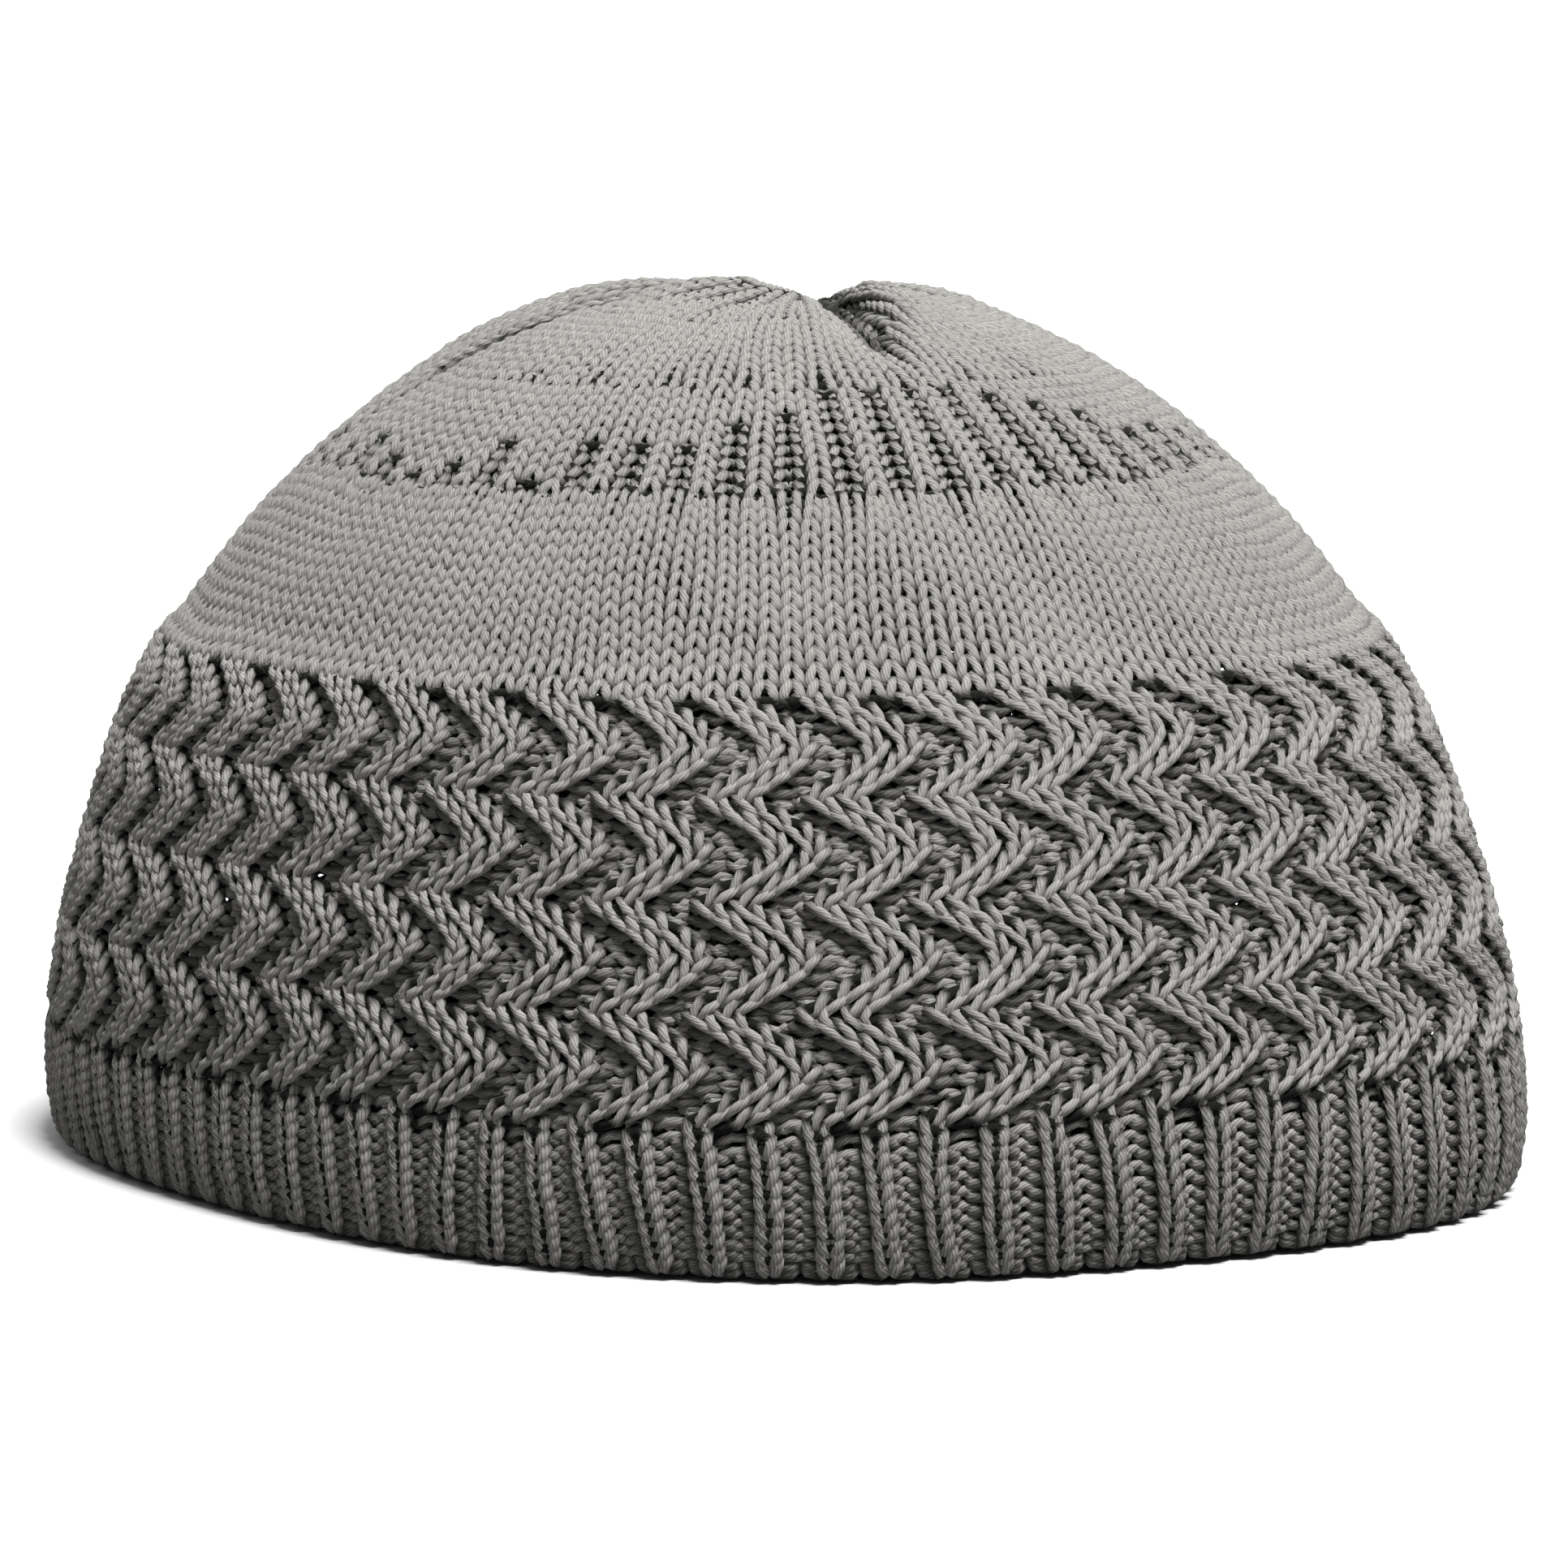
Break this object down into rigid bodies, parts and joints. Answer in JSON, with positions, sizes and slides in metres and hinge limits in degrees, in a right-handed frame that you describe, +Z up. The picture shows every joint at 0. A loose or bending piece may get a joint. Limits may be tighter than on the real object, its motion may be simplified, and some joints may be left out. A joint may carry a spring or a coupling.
{
  "type": "knitted kufi cap",
  "caption": "Close-fitting brimless knitted cap with a ribbed rim, a band of raised zigzags, a plain domed crown and a gathered top; grey yarn, resting on its rim.",
  "frame": {"origin": "on the surface that the rim rests on, under the centre of the cap's box", "axes": "+Z up, +Y from the front of the cap to its back, which is its longest way"},
  "size_m": [0.1564, 0.1912, 0.1059],
  "materials": {
    "ribbed_yarn": "matt plied cotton yarn, knit one purl one ribbing",
    "zigzag_yarn": "matt plied cotton yarn, raised zigzags on purl stitches",
    "crown_yarn": "matt plied cotton yarn, plain knit stitches"
  },
  "bodies": {
    "root": {"ribbed_brim": "ribbed_yarn", "zigzag_band": "zigzag_yarn", "plain_crown": "crown_yarn", "gathered_top": "crown_yarn"}
  },
  "joints": []
}
